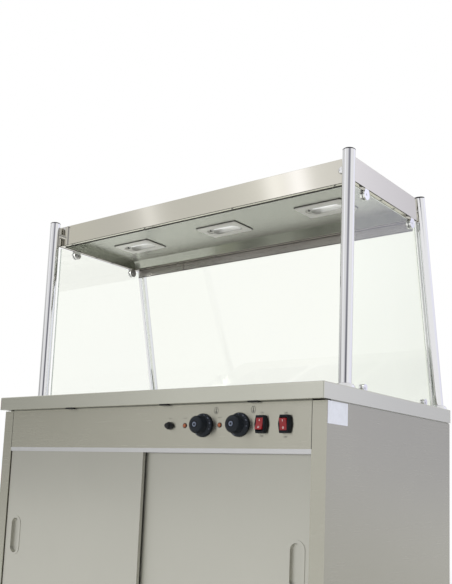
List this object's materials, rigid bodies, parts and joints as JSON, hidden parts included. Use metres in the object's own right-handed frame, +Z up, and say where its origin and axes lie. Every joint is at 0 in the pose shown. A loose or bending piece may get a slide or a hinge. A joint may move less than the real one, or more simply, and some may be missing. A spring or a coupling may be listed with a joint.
{
  "type": "mobile heated servery",
  "caption": "Stainless hot cupboard on castors with a dry heat well, controls and a lamp-heated gantry with glass ends and back.",
  "frame": {"origin": "on the floor under the middle of the trolley's outer box", "axes": "+Z up, +X to the operator's right, the doors and controls face -Y"},
  "size_m": [1.24, 0.766, 1.5394],
  "materials": {
    "worktop_steel": "fine brushed stainless along the length",
    "panel_steel": "fine brushed stainless",
    "door_steel": "fine brushed stainless",
    "tank_steel": "dull 2B stainless",
    "lining_steel": "dull 2B stainless",
    "frame_steel": "mill stainless tube",
    "canopy_steel": "brushed stainless, bright",
    "pan_steel": "satin stainless",
    "gastronorm_steel": "bright stainless",
    "bezel_steel": "satin stainless",
    "rail_steel": "satin stainless",
    "polished_tube": "mirror polished",
    "polished_fitting": "mirror polished",
    "spindle_metal": "satin",
    "track_aluminium": "extruded, natural",
    "reflector_aluminium": "bright",
    "zinc_plate": "bright zinc plated",
    "pedal_zinc": "bright zinc plated",
    "element_sheath": "oxidised sheath",
    "mineral_wool": "mineral wool slab",
    "black_plastic": "moulded, satin",
    "cap_plastic": "moulded, glossy",
    "knob_plastic": "moulded, satin",
    "switch_plastic": "moulded, satin",
    "red_rocker": "translucent red, glossy",
    "amber_lens": "translucent amber",
    "lamp_quartz": "quartz tube with ceramic ends",
    "clear_glass": "toughened clear glass, green edge",
    "grey_tyre": "non-marking rubber on a plastic centre"
  },
  "bodies": {
    "cabinet": {"worktop": "worktop_steel", "well_tank": "tank_steel", "well_cross_bars": "tank_steel", "side_panel_left": "panel_steel", "side_panel_right": "panel_steel", "back_panel": "panel_steel", "top_frame": "frame_steel", "chassis_frame": "frame_steel", "cabinet_floor": "panel_steel", "cupboard_lining": "lining_steel", "insulation_slabs": "mineral_wool", "cupboard_shelf": "lining_steel", "control_fascia": "panel_steel", "worktop_packers": "black_plastic", "door_tracks": "track_aluminium", "castor_plates": "zinc_plate", "tank_element": "element_sheath", "cupboard_element": "element_sheath", "element_guard": "lining_steel", "thermostats": "black_plastic", "neon_lamps": "amber_lens", "switch_bodies": "switch_plastic", "reset_collar": "black_plastic", "cable_gland": "black_plastic", "front_posts": "polished_tube", "back_posts": "polished_tube", "post_caps": "cap_plastic", "post_flanges": "polished_tube", "gantry_fixings": "polished_tube", "canopy_shell": "canopy_steel", "canopy_pan": "pan_steel", "lamp_bezels": "bezel_steel", "lamp_reflectors": "reflector_aluminium", "lamp_tubes": "lamp_quartz", "end_glasses": "clear_glass", "rear_glass": "clear_glass", "glass_clamps": "polished_fitting", "rear_rail": "rail_steel"},
    "knob_cupboard": {"knob_cupboard": "knob_plastic", "spindle_cupboard": "spindle_metal"},
    "knob_well": {"knob_well": "knob_plastic", "spindle_well": "spindle_metal"},
    "rocker_lamps": {"rocker_lamps": "red_rocker"},
    "rocker_well": {"rocker_well": "red_rocker"},
    "reset_button": {"reset_button": "black_plastic"},
    "door_left": {"door_left": "door_steel"},
    "door_right": {"door_right": "door_steel"},
    "food_pan_left": {"food_pan_left": "gastronorm_steel"},
    "food_pan_middle": {"food_pan_middle": "gastronorm_steel"},
    "food_pan_right": {"food_pan_right": "gastronorm_steel"},
    "castor_front_left": {"castor_fork_front_left": "zinc_plate"},
    "wheel_front_left": {"castor_wheel_front_left": "grey_tyre"},
    "brake_pedal_front_left": {"brake_pedal_front_left": "pedal_zinc"},
    "castor_back_left": {"castor_fork_back_left": "zinc_plate"},
    "wheel_back_left": {"castor_wheel_back_left": "grey_tyre"},
    "castor_front_right": {"castor_fork_front_right": "zinc_plate"},
    "wheel_front_right": {"castor_wheel_front_right": "grey_tyre"},
    "brake_pedal_front_right": {"brake_pedal_front_right": "pedal_zinc"},
    "castor_back_right": {"castor_fork_back_right": "zinc_plate"},
    "wheel_back_right": {"castor_wheel_back_right": "grey_tyre"}
  },
  "joints": [
    {"name": "knob_cupboard_turn", "type": "hinge", "parent": "cabinet", "child": "knob_cupboard", "pos_m": [0.236, -0.345, 0.8], "axis": [0, 1, 0], "range_deg": [0, 270]},
    {"name": "knob_well_turn", "type": "hinge", "parent": "cabinet", "child": "knob_well", "pos_m": [0.357, -0.345, 0.8], "axis": [0, 1, 0], "range_deg": [0, 270]},
    {"name": "rocker_lamps_tilt", "type": "hinge", "parent": "cabinet", "child": "rocker_lamps", "pos_m": [0.428, -0.354, 0.8], "axis": [1, 0, 0], "range_deg": [0, 24]},
    {"name": "rocker_well_tilt", "type": "hinge", "parent": "cabinet", "child": "rocker_well", "pos_m": [0.5, -0.354, 0.8], "axis": [1, 0, 0], "range_deg": [-24, 0]},
    {"name": "reset_button_press", "type": "slide", "parent": "cabinet", "child": "reset_button", "axis": [0, 1, 0], "range_m": [0, 0.003], "stiffness_N_per_m": 300, "springref_m": -0.002},
    {"name": "door_left_slide", "type": "slide", "parent": "cabinet", "child": "door_left", "axis": [1, 0, 0], "range_m": [0, 0.556]},
    {"name": "door_right_slide", "type": "slide", "parent": "cabinet", "child": "door_right", "axis": [1, 0, 0], "range_m": [-0.556, 0]},
    {"name": "food_pan_left_lift", "type": "slide", "parent": "cabinet", "child": "food_pan_left", "axis": [0, 0, 1], "range_m": [0, 0.12]},
    {"name": "food_pan_middle_lift", "type": "slide", "parent": "cabinet", "child": "food_pan_middle", "axis": [0, 0, 1], "range_m": [0, 0.12]},
    {"name": "food_pan_right_lift", "type": "slide", "parent": "cabinet", "child": "food_pan_right", "axis": [0, 0, 1], "range_m": [0, 0.12]},
    {"name": "swivel_front_left", "type": "hinge", "parent": "cabinet", "child": "castor_front_left", "pos_m": [-0.492, -0.265, 0.157], "axis": [0, 0, 1], "continuous": true},
    {"name": "wheel_front_left_spin", "type": "hinge", "parent": "castor_front_left", "child": "wheel_front_left", "pos_m": [-0.53, -0.265, 0.0625], "axis": [0, 1, 0], "continuous": true},
    {"name": "brake_pedal_front_left_press", "type": "hinge", "parent": "castor_front_left", "child": "brake_pedal_front_left", "pos_m": [-0.518, -0.265, 0.134], "axis": [0, -1, 0], "range_deg": [0, 20]},
    {"name": "swivel_back_left", "type": "hinge", "parent": "cabinet", "child": "castor_back_left", "pos_m": [-0.492, 0.301, 0.157], "axis": [0, 0, 1], "continuous": true},
    {"name": "wheel_back_left_spin", "type": "hinge", "parent": "castor_back_left", "child": "wheel_back_left", "pos_m": [-0.53, 0.301, 0.0625], "axis": [0, 1, 0], "continuous": true},
    {"name": "swivel_front_right", "type": "hinge", "parent": "cabinet", "child": "castor_front_right", "pos_m": [0.492, -0.265, 0.157], "axis": [0, 0, 1], "continuous": true},
    {"name": "wheel_front_right_spin", "type": "hinge", "parent": "castor_front_right", "child": "wheel_front_right", "pos_m": [0.454, -0.265, 0.0625], "axis": [0, 1, 0], "continuous": true},
    {"name": "brake_pedal_front_right_press", "type": "hinge", "parent": "castor_front_right", "child": "brake_pedal_front_right", "pos_m": [0.466, -0.265, 0.134], "axis": [0, -1, 0], "range_deg": [0, 20]},
    {"name": "swivel_back_right", "type": "hinge", "parent": "cabinet", "child": "castor_back_right", "pos_m": [0.492, 0.301, 0.157], "axis": [0, 0, 1], "continuous": true},
    {"name": "wheel_back_right_spin", "type": "hinge", "parent": "castor_back_right", "child": "wheel_back_right", "pos_m": [0.454, 0.301, 0.0625], "axis": [0, 1, 0], "continuous": true}
  ]
}
